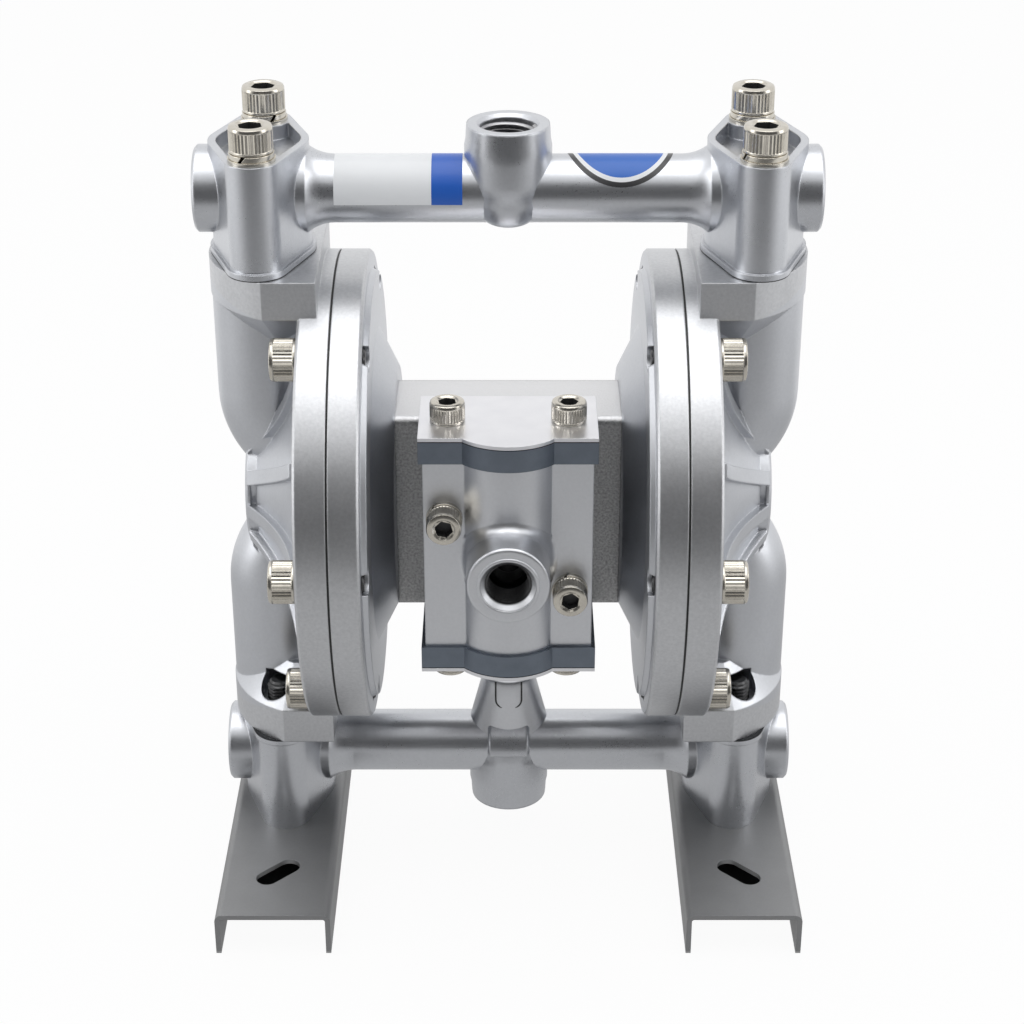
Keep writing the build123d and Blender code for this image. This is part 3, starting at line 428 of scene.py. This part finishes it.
def gathered(pattern, places):
    """Copies of one shape, each at its own place, in one mesh."""
    mesh = bpy.data.meshes.new("pattern")
    bmesh.ops.recalc_face_normals(pattern, faces=pattern.faces)
    pattern.to_mesh(mesh)
    pattern.free()
    bm = bmesh.new()
    for place in places:
        before = len(bm.verts)
        bm.from_mesh(mesh)
        bm.verts.ensure_lookup_table()
        bmesh.ops.transform(bm, matrix=place, verts=bm.verts[before:])
    bpy.data.meshes.remove(mesh)
    return bm


# Socket head screws: knurled head, hexagon socket, shank and a real thread at its end
def socket_screw(thread, head, height, key, key_depth, length, pitch, threaded):
    """Screw along Z with the seat of its head at the origin; slot 1 is painted shade in the socket and
    slot 2 the thread.
    """
    bm = bmesh.new()
    half = head / 2
    core = thread / 2 - 0.6 * pitch
    corner = key / sqrt(3.0)
    mouth_depth = 0.55
    knurl_low, knurl_high = 1.25, height - 1.75
    knurl_depth = 0.34
    end_chamfer = 0.7
    steps = 72
    start = -length + threaded
    turned(
        bm,
        (
            (0.0, -length),
            (core - end_chamfer, -length),
            (core, -length + end_chamfer),
            (core, start),
            (thread / 2, start + end_chamfer),
            (thread / 2, 0.0),
            (half - 0.35, 0.0),
            (half, 0.35),
            (half, knurl_low - 0.25),
            (half, knurl_low),
            (half, knurl_high),
            (half, knurl_high + 0.25),
            (half, height - 1.1),
            (half - 0.3, height - 0.35),
            (half - 1.1, height),
            (corner + 0.75, height),
            (corner + 0.1, height - 0.5),
        ),
        steps,
    )
    grooved = []
    for vert in bm.verts:
        if knurl_low - 0.1 < vert.co.z < knurl_high + 0.1 and vert.co.xy.length > half - 0.1:
            step = round(degrees(atan2(vert.co.y, vert.co.x)) / (360.0 / steps))
            if step % 2:
                grooved.append(vert)
    inward = 1.0 - knurl_depth / half
    bmesh.ops.scale(bm, vec=(inward, inward, 1.0), verts=grooved)
    mouth = [edge for edge in bm.edges if edge.is_boundary]
    hexagon = bmesh.ops.create_circle(
        bm, segments=6, radius=corner, matrix=Matrix.Translation((0, 0, height - mouth_depth))
    )
    ring = list({edge for vert in hexagon["verts"] for edge in vert.link_edges})
    bmesh.ops.bridge_loops(bm, edges=mouth + ring)
    walls = bmesh.ops.extrude_edge_only(bm, edges=ring)["geom"]
    bmesh.ops.translate(bm, vec=(0, 0, mouth_depth - key_depth), verts=verts_of(walls))
    rim = [item for item in walls if isinstance(item, bmesh.types.BMEdge) and item.is_boundary]
    floor_face = bmesh.ops.edgeloop_fill(bm, edges=rim)["faces"]
    bmesh.ops.poke(bm, faces=floor_face)
    for face in bm.faces:
        middle = face.calc_center_median()
        # Faces deep in the hex socket take slot 1, the painted shade
        in_socket = height - key_depth - 0.1 < middle.z < height - 0.6
        if in_socket and middle.xy.length < corner:
            face.material_index = 1
        if middle.z < start:
            face.material_index = 2
    bmesh.ops.recalc_face_normals(bm, faces=bm.faces)
    ridge = bmesh.new()
    low = pitch * 0.44
    root, crest = core - 0.2, thread / 2 - 0.05
    turns = (threaded - 2.2) / pitch
    swept(
        ridge,
        ((root, -low), (crest, -0.1), (crest, 0.1), (root, low)),
        2 * pi * turns,
        int(36 * turns),
        pitch,
    )
    bmesh.ops.translate(ridge, vec=(0, 0, -length + 1.4), verts=ridge.verts)
    bmesh.ops.recalc_face_normals(ridge, faces=ridge.faces)
    for face in ridge.faces:
        face.material_index = 2
    part_mesh = bpy.data.meshes.new("ridge")
    ridge.to_mesh(part_mesh)
    ridge.free()
    bm.from_mesh(part_mesh)
    bpy.data.meshes.remove(part_mesh)
    return bm


def split_washer(outer, hole, thickness):
    """Spring washer with its slanted split."""
    bm = bmesh.new()
    edge = 0.12
    swept(
        bm,
        (
            (hole / 2, edge),
            (hole / 2 + edge, 0.0),
            (outer / 2 - edge, 0.0),
            (outer / 2, edge),
            (outer / 2, thickness - edge),
            (outer / 2 - edge, thickness),
            (hole / 2 + edge, thickness),
            (hole / 2, thickness - edge),
        ),
        radians(350),
        60,
    )
    upper = [vert for vert in bm.verts if vert.co.z > thickness / 2]
    bmesh.ops.rotate(bm, cent=(0, 0, 0), matrix=Matrix.Rotation(radians(9), 3, "Z"), verts=upper)
    return bm


screw_finishes = (nickel, socket_painted_shade, dark_thread_and_painted_shade)
up, down, forward, backward = (0, 0, 1), (0, 0, -1), (0, -1, 0), (0, 1, 0)
columns = [(side * column_x, y) for side in (-1, 1) for y in (-manifold_bolt_y, manifold_bolt_y)]
# How far each socket is turned, so that no two screws sit alike
rolls = (12.0, 47.0, -20.0, 33.0, 5.0, -41.0, 26.0)
# Thread, head, head height, key and key depth
m10 = (10.0, 16.0, 10.0, 8.0, 5.0)
m8 = (8.0, 13.0, 8.0, 6.0, 4.0)

bm = gathered(
    socket_screw(*m10, 60.0, 1.5, 14.0),
    [aim((x, y, outlet_washer_z + washer_height), up, rolls[i]) for i, (x, y) in enumerate(columns)],
)
finish_piece("outlet_screws", bm, screw_finishes, ("outlet_manifold_bolts",))

bm = gathered(
    socket_screw(*m10, 70.0, 1.5, 14.0),
    [aim((x, y, inlet_washer_z), down, rolls[i + 1]) for i, (x, y) in enumerate(columns)],
)
finish_piece("inlet_screws", bm, screw_finishes, ("inlet_manifold_bolts",))

for side, side_name in ((-1, "left"), (1, "right")):
    places = []
    for i in range(6):
        y = chamber_bolt_circle * cos(radians(60 * i))
        z = shaft_z + chamber_bolt_circle * sin(radians(60 * i))
        places.append(aim((side * chamber_bolt_x, y, z), (side, 0, 0), rolls[i] * side))
    bm = gathered(socket_screw(*m10, 25.0, 1.5, 12.0), places)
    node = "chamber_bolts_" + side_name
    finish_piece("chamber_screws_" + side_name, bm, screw_finishes, (node,))

for name, node, z, direction in (
    ("cap_screws_upper", "cap_screws_top", cover_top_z, up),
    ("cap_screws_lower", "cap_screws_bottom", cover_bottom_z, down),
):
    bm = gathered(
        socket_screw(*m8, 25.0, 1.25, 10.0),
        [aim((x, spool_y, z), direction, roll) for x, roll in ((-cap_screw_x, 8.0), (cap_screw_x, 37.0))],
    )
    finish_piece(name, bm, screw_finishes, (node,))

valve_places = ((-23.5, 177.0, 15.0), (23.0, 147.0, -8.0))
valve_head_y = wing_front_y - washer_height
bm = gathered(
    socket_screw(*m8, 50.0, 1.25, 10.0),
    [aim((x, valve_head_y, z), forward, roll) for x, z, roll in valve_places],
)
finish_piece("valve_body_screws", bm, screw_finishes, ("valve_screws",))

outlet_splits, inlet_splits = (250, 300, 205, 20), (20, 75, 160, 240)
for name, node, outer, hole, places in (
    (
        "outlet_split_washers",
        "outlet_spring_washers",
        16.6,
        11.0,
        [aim((x, y, outlet_washer_z), up, outlet_splits[i]) for i, (x, y) in enumerate(columns)],
    ),
    (
        "inlet_split_washers",
        "inlet_spring_washers",
        16.6,
        11.0,
        [aim((x, y, inlet_washer_z), up, inlet_splits[i]) for i, (x, y) in enumerate(columns)],
    ),
    (
        "valve_split_washers",
        "valve_screw_washers",
        13.5,
        9.0,
        [aim((x, wing_front_y, z), forward, roll + 110) for x, z, roll in valve_places],
    ),
):
    bm = gathered(split_washer(outer, hole, washer_height), places)
    finish_piece(name, bm, (nickel,), (node,))


# Threads in the ports
def port_thread(radius, minor, pitch, depth):
    """Thread ridge that winds inwards from a bore, its mouth at the origin."""
    bm = bmesh.new()
    low = pitch * 0.46
    turns = (depth - 3.2) / pitch
    swept(
        bm,
        ((radius + 0.2, -low), (radius + 0.2, low), (minor, 0.12), (minor, -0.12)),
        2 * pi * turns,
        int(48 * turns),
        pitch,
    )
    bmesh.ops.translate(bm, vec=(0, 0, -depth + 1.0), verts=bm.verts)
    return bm


# Major radius, minor radius and pitch
half_inch = (10.48, 9.4, 1.814)
three_eighths = (8.33, 7.5, 1.337)
for name, sizes, depth, place, direction, metal in (
    ("outlet_port_thread", half_inch, 16.0, (0, 0, outlet_z + port_reach), up, thread_metal),
    ("inlet_port_thread", half_inch, 16.0, (0, 0, inlet_z - port_reach), down, thread_metal),
    ("exhaust_thread", half_inch, 12.0, (0, exhaust_face_y, exhaust_z), backward, thread_metal),
    # The air inlet's thread is dark: painted shade in the depth of its bore
    ("air_inlet_thread", three_eighths, 14.0, (0, inlet_face_y, shaft_z), forward, dark_thread_and_painted_shade),
):
    bm = gathered(port_thread(*sizes, depth), [aim(place, direction)])
    finish_piece(name, bm, (metal,))


# Port bosses: a round boss that crosses the pipe and ends in a small stub behind it
def port_boss():
    """Boss about its port's axis, its face at port_reach and the pipe along X at the origin."""
    bm = bmesh.new()
    proud = 0.08
    stub_start = -3.0
    narrowing = 0.03
    section = (
        (14.9, port_reach + proud),
        (15.35, port_reach - 0.25),
        (15.5, port_reach - 1.0),
        (15.75, 19.5),
        (16.25, 17.0),
        (16.25, 13.0),
        (15.9, 5.0),
        (15.75, 1.2),
        (15.5, 0.6),
        (15.35, stub_start),
        (14.9, -6.0),
        (13.9, -9.2),
        (12.9, -10.7),
        (11.9, -11.3),
        (4.0, -11.3),
        (4.0, -10.2),
        (12.0, -10.0),
        (12.0, 8.5),
        (10.44, 9.0),
        (10.44, port_reach - 1.2),
        (11.6, port_reach + proud),
    )
    turned(bm, section, 96, ring=True)
    for vert in bm.verts:
        below = max(stub_start - vert.co.z, 0.0)
        vert.co.x *= 1.0 - narrowing * below
    return bm


for name, place, direction in (
    ("outlet_port_boss", (0, 0, outlet_z), up),
    ("inlet_port_boss", (0, 0, inlet_z), down),
):
    finish_piece(name, gathered(port_boss(), [aim(place, direction)]), (manifold_casting,))


# Saddle over the inlet pipe: a strap that lies across it, and the upright above that
strap_half = 8.6
strap_radius = 16.2
strap_rounding = 1.7
bm = bmesh.new()
outline = []
for angle in range(6, 175, 6):
    y = -strap_radius * cos(radians(angle))
    z = strap_radius * sin(radians(angle))
    outline.append(bm.verts.new((-strap_half, y, inlet_z + z)))
across = bmesh.ops.extrude_face_region(bm, geom=[bm.faces.new(outline)])["geom"]
bmesh.ops.translate(bm, vec=(2 * strap_half, 0, 0), verts=verts_of(across))
bmesh.ops.recalc_face_normals(bm, faces=bm.faces)
rims = [edge for edge in bm.edges if abs(edge.verts[0].co.x - edge.verts[1].co.x) < 0.001]
bmesh.ops.bevel(
    bm, geom=rims, offset=strap_rounding, segments=5, profile=0.5, affect="EDGES", material=-1
)
finish_piece("inlet_strap", bm, (manifold_casting,), sharp=40.0)

upright_foot = 8.0
upright_edge = 32.7


def upright_half(z):
    """Half width and half depth of the upright at a height above the pipe's axis."""
    share = (z - upright_foot) / 19.0
    return 17.0 - 4.9 * share, 11.25 - 1.0 * share


bm = bmesh.new()
# Height above the pipe's axis, and how far the rounded top edge is set in there
levels = (
    (upright_foot, 0.0),
    (12.0, 0.0),
    (17.0, 0.0),
    (22.0, 0.0),
    (27.0, 0.0),
    (31.5, 0.0),
    (upright_edge, 0.3),
    (33.2, 1.0),
)
loops = []
for z, inset in levels:
    half_x, half_y = upright_half(z)
    ring = bmesh.ops.create_circle(
        bm, segments=96, radius=1.0, matrix=Matrix.Translation((0, 0, inlet_z + z))
    )["verts"]
    bmesh.ops.scale(bm, vec=(half_x - inset, half_y - inset, 1.0), verts=ring)
    loops.append(list({edge for vert in ring for edge in vert.link_edges}))
for lower, upper in zip(loops, loops[1:]):
    bmesh.ops.bridge_loops(bm, edges=lower + upper)
for loop in (loops[0], loops[-1]):
    bmesh.ops.edgeloop_fill(bm, edges=loop)
bmesh.ops.recalc_face_normals(bm, faces=bm.faces)
finish_piece("inlet_upright", bm, (valve_casting,))

# Painted shade: thin dark strips lie in the two cast grooves that run down the upright's front and back
# and turn in at their lower ends
groove_x = 5.3
groove_top_z = 33.0
groove_bend_z = 25.2
groove_bend = 3.4
groove_half = 0.36
groove_skin = 0.12
bm = bmesh.new()
for way in (-1, 1):
    for side in (-1, 1):
        path = [(groove_x, groove_top_z - 1.3 * i) for i in range(6)]
        for angle in range(0, 76, 15):
            x = groove_x - groove_bend * (1 - cos(radians(angle)))
            z = groove_bend_z - groove_bend * sin(radians(angle))
            path.append((x, z))
        rungs = []
        for i, (x, z) in enumerate(path):
            ahead = path[min(i + 1, len(path) - 1)]
            behind = path[max(i - 1, 0)]
            along = Vector((ahead[0] - behind[0], ahead[1] - behind[1])).normalized()
            thinning = 1.0 if i < len(path) - 3 else 0.35 * (len(path) - i)
            half = groove_half * thinning
            rung = []
            for edge_side in (-1, 1):
                at_x = x - along.y * half * edge_side
                at_z = z + along.x * half * edge_side
                half_x, half_y = upright_half(at_z)
                inset = 0.35 if at_z > upright_edge else 0.0
                at_y = (half_y - inset) * sqrt(1.0 - (at_x / (half_x - inset)) ** 2) + 0.03
                rung.append(bm.verts.new((side * at_x, way * at_y, inlet_z + at_z)))
            rungs.append(rung)
        for lower, upper in zip(rungs, rungs[1:]):
            bm.faces.new((lower[0], lower[1], upper[1], upper[0]))
for face in bm.faces:
    face.normal_update()
    if face.normal.y * face.calc_center_median().y < 0:
        face.normal_flip()
bmesh.ops.solidify(bm, geom=bm.faces[:], thickness=groove_skin)
bmesh.ops.recalc_face_normals(bm, faces=bm.faces)
finish_piece("inlet_upright_groove_shade", bm, (dark_thread_and_painted_shade,), sharp=40.0)


# Air inlet: the soft blend at the foot of its boss and the raised lip round its mouth
def valve_front_y(x):
    """Front of the valve body at a distance from its middle: round bulge or flat wing."""
    bulge_y = spool_y - sqrt(max(bulge_radius * bulge_radius - x * x, 0.0))
    return min(bulge_y, wing_front_y)


boss_radius = 15.4
blend = 3.6
blend_inner = boss_radius - 0.5
blend_under = -0.8
blend_sunk = 0.06
arc = []
for angle in range(0, 91, 15):
    radius = boss_radius + blend * (1 - cos(radians(angle)))
    arc.append((radius, blend * (1 - sin(radians(angle))) - blend_sunk))
under = [(blend_inner, blend_under), (blend_inner, blend)]
bm = bmesh.new()
turned(bm, under + arc + [(boss_radius + blend, blend_under)], 96, ring=True)
for vert in bm.verts:
    x, across, out = vert.co
    vert.co = (x, valve_front_y(x) - out, shaft_z + across)
bmesh.ops.recalc_face_normals(bm, faces=bm.faces)
finish_piece("air_inlet_blend", bm, (valve_casting,), sharp=60.0)

lip_radius = 10.9
lip_half = 0.75
lip_height = 0.5
lip = []
for angle in range(180, -1, -20):
    lip.append((lip_radius + lip_half * cos(radians(angle)), lip_height * sin(radians(angle))))
lip += [(lip_radius + lip_half, -lip_height), (lip_radius - lip_half, -lip_height)]
bm = bmesh.new()
turned(bm, lip, 96, ring=True)
bm = gathered(bm, [aim((0, inlet_face_y, shaft_z), forward)])
finish_piece("air_inlet_lip", bm, (valve_casting,), sharp=60.0)


# Labels on the outlet pipe, both plain
def wrap_round_pipe(bm, middle_x, middle_angle):
    """Bend a flat shape, drawn along X and Y, round the outlet pipe."""
    for vert in bm.verts:
        angle = radians(middle_angle) + vert.co.y / pipe_radius
        reach = pipe_radius + vert.co.z
        vert.co = (middle_x + vert.co.x, -reach * cos(angle), outlet_z + reach * sin(angle))
    bmesh.ops.recalc_face_normals(bm, faces=bm.faces)


label_lift = 0.08
label_length = 47.2
label_wrap = 150
bm = bmesh.new()
bmesh.ops.create_grid(bm, x_segments=1, y_segments=40, size=0.5)
bmesh.ops.scale(bm, vec=(label_length, pipe_radius * radians(label_wrap), 1.0), verts=bm.verts)
raised = bmesh.ops.extrude_face_region(bm, geom=bm.faces[:])["geom"]
bmesh.ops.translate(bm, vec=(0, 0, label_lift), verts=verts_of(raised))
wrap_round_pipe(bm, -40.4, 65.0)
finish_piece("pipe_label", bm, (label_white,), sharp=40.0)

badge_radius = 19.5
blue_radius = 15.8
white_radius = 17.5
bm = bmesh.new()
rings = [1.06 * i for i in range(16)] + [16.75, 17.6, 18.55, badge_radius]
turned(bm, [(radius, label_lift) for radius in rings] + [(badge_radius, 0.0), (0.0, 0.0)], 72)
for face in bm.faces:
    middle = face.calc_center_median().xy.length
    face.material_index = 2 if middle > white_radius else 1 if middle > blue_radius else 0
wrap_round_pipe(bm, 41.5, 107.8)
finish_piece("pipe_badge", bm, (badge_blue, badge_white, badge_black), sharp=40.0)


# Stage: floor, cloths, light and camera
def stage_object(name, bm, material):
    """Put a shape in metres on the stage, outside the part."""
    mesh = bpy.data.meshes.new(name)
    bm.to_mesh(mesh)
    bm.free()
    mesh.materials.append(material)
    made = bpy.data.objects.new(name, mesh)
    bpy.context.scene.collection.objects.link(made)
    return made


def white_floor():
    """White floor that keeps a soft shadow, with painted shadow inside the feet, under their slots."""
    finish = Finish("floor_white", Roughness=0.95)
    paths = finish.tree.nodes.new("ShaderNodeLightPath")
    seen = Wire(finish, paths.outputs["Is Camera Ray"]) + Wire(finish, paths.outputs["Is Glossy Ray"])
    glow = finish.node("ShaderNodeEmission", sockets={"Color": (1.0, 1.0, 1.0, 1.0), "Strength": 1.0})
    # Painted shadow: inside each foot, under its slot, the floor is dark and does not glow
    inside_x = finish.fade(abs(abs(finish.x) - column_x * mm), foot_half_x * mm, 0.0205)
    inside_y = finish.fade(abs(finish.y), 0.066, 0.058)
    shade = inside_x * inside_y
    finish.drive(Base_Color=finish.mix(shade, (0.86,) * 3, (0.05,) * 3))
    mixed = finish.node(
        "ShaderNodeMixShader",
        sockets={0: seen * (1 - shade) * 0.95, 1: Wire(finish, finish.shader.outputs[0]), 2: glow},
    )
    finish.feed(finish.tree.nodes["Material Output"].inputs["Surface"], mixed)
    return finish.material


bm = bmesh.new()
bmesh.ops.create_grid(bm, x_segments=1, y_segments=1, size=6.0)
stage_object("floor", bm, white_floor())


cloth_colour = (0.02, 0.02, 0.022, 1.0)


def dark_wall():
    """Black cloth in front of the pump, which thins out at its top and its ends."""
    finish = Finish("black_cloth", Roughness=1.0, Base_Color=cloth_colour)
    top = finish.fade(finish.z, 1.42, 1.00)
    ends = finish.fade(abs(finish.x), 1.32, 1.00)
    finish.drive(Alpha=top * ends * 0.90)
    return finish.material


wall_radius = 1.35
wall_height = 1.5
wall_gap = 0.003
bm = bmesh.new()
foot = bm.verts.new((0, -wall_radius, wall_gap))
head = bm.verts.new((0, -wall_radius, wall_height))
line = bm.edges.new((foot, head))
for way in (-1, 1):
    bmesh.ops.spin(
        bm, geom=[foot, head, line], cent=(0, 0, 0), axis=(0, 0, 1), angle=way * radians(78), steps=18
    )
wall = stage_object("black_cloth_wall", bm, dark_wall())


def dark_mat():
    """Cloth on the floor: thin under the pump and thick in front of it."""
    finish = Finish("grey_cloth", Roughness=1.0, Base_Color=cloth_colour)
    thick = finish.fade(finish.y, -0.50, -1.00)
    ends = finish.fade(abs(finish.x), 0.90, 0.55) * finish.fade(finish.y, 0.34, 0.20)
    finish.drive(Alpha=ends * (thick * 0.48 + 0.42))
    return finish.material


bm = bmesh.new()
bmesh.ops.create_grid(bm, x_segments=1, y_segments=1, size=1.0)
bmesh.ops.scale(bm, vec=(0.95, 0.87, 1.0), verts=bm.verts)
bmesh.ops.translate(bm, vec=(0, -0.49, 0.0008), verts=bm.verts)
mat = stage_object("grey_cloth_mat", bm, dark_mat())
# Both cloths only darken what the metal mirrors
for cloth in (wall, mat):
    cloth.visible_camera = False
    cloth.visible_diffuse = False
    cloth.visible_shadow = False

# White backdrop for what the camera sees and the metal mirrors, a dimmer one that lights the part
world = bpy.data.worlds.new("studio")
bpy.context.scene.world = world
world.use_nodes = True
sky = world.node_tree
paths = sky.nodes.new("ShaderNodeLightPath")
mirrored, seen = (sky.nodes.new("ShaderNodeMath") for _ in range(2))
mirrored.operation = seen.operation = "MAXIMUM"
sky.links.new(paths.outputs["Is Glossy Ray"], mirrored.inputs[0])
sky.links.new(paths.outputs["Is Transmission Ray"], mirrored.inputs[1])
sky.links.new(paths.outputs["Is Camera Ray"], seen.inputs[0])
sky.links.new(mirrored.outputs[0], seen.inputs[1])
ambient = sky.nodes["Background"]
ambient.inputs["Color"].default_value = (0.95, 0.97, 1.0, 1.0)
ambient.inputs["Strength"].default_value = 0.5
backdrop = sky.nodes.new("ShaderNodeBackground")
backdrop.inputs["Color"].default_value = (1.0, 1.0, 1.0, 1.0)
backdrop.inputs["Strength"].default_value = 1.0
either = sky.nodes.new("ShaderNodeMixShader")
sky.links.new(seen.outputs[0], either.inputs["Fac"])
sky.links.new(ambient.outputs[0], either.inputs[1])
sky.links.new(backdrop.outputs[0], either.inputs[2])
sky.links.new(either.outputs[0], sky.nodes["World Output"].inputs["Surface"])


def soft_light(name, place, size, power):
    """Rectangular light that faces the middle of the pump."""
    data = bpy.data.lights.new(name, "AREA")
    data.shape = "RECTANGLE"
    data.size, data.size_y = size
    data.energy = power
    lamp = bpy.data.objects.new(name, data)
    bpy.context.scene.collection.objects.link(lamp)
    lamp.location = place
    lamp.rotation_euler = (Vector((0, 0, 0.15)) - Vector(place)).to_track_quat("-Z", "Y").to_euler()


soft_light("top_light", (0.0, 0.0, 1.8), (2.0, 1.6), 15)
soft_light("left_light", (-1.6, -0.3, 0.8), (0.7, 1.4), 5.5)
soft_light("right_light", (1.6, -0.3, 0.8), (0.7, 1.4), 5.5)

# Camera solved from the outlines in the photograph: straight in front and looking down on the pump
camera_drop = 27.3
camera_data = bpy.data.cameras.new("camera")
camera_data.sensor_width = 36.0
camera_data.lens = 80.86
camera = bpy.data.objects.new("camera", camera_data)
bpy.context.scene.collection.objects.link(camera)
camera.location = (0.0014, -0.8142, 0.5670)
camera.rotation_euler = (radians(90.0 - camera_drop), 0.0, 0.0)
bpy.context.scene.camera = camera
bpy.context.scene.view_settings.view_transform = "Standard"
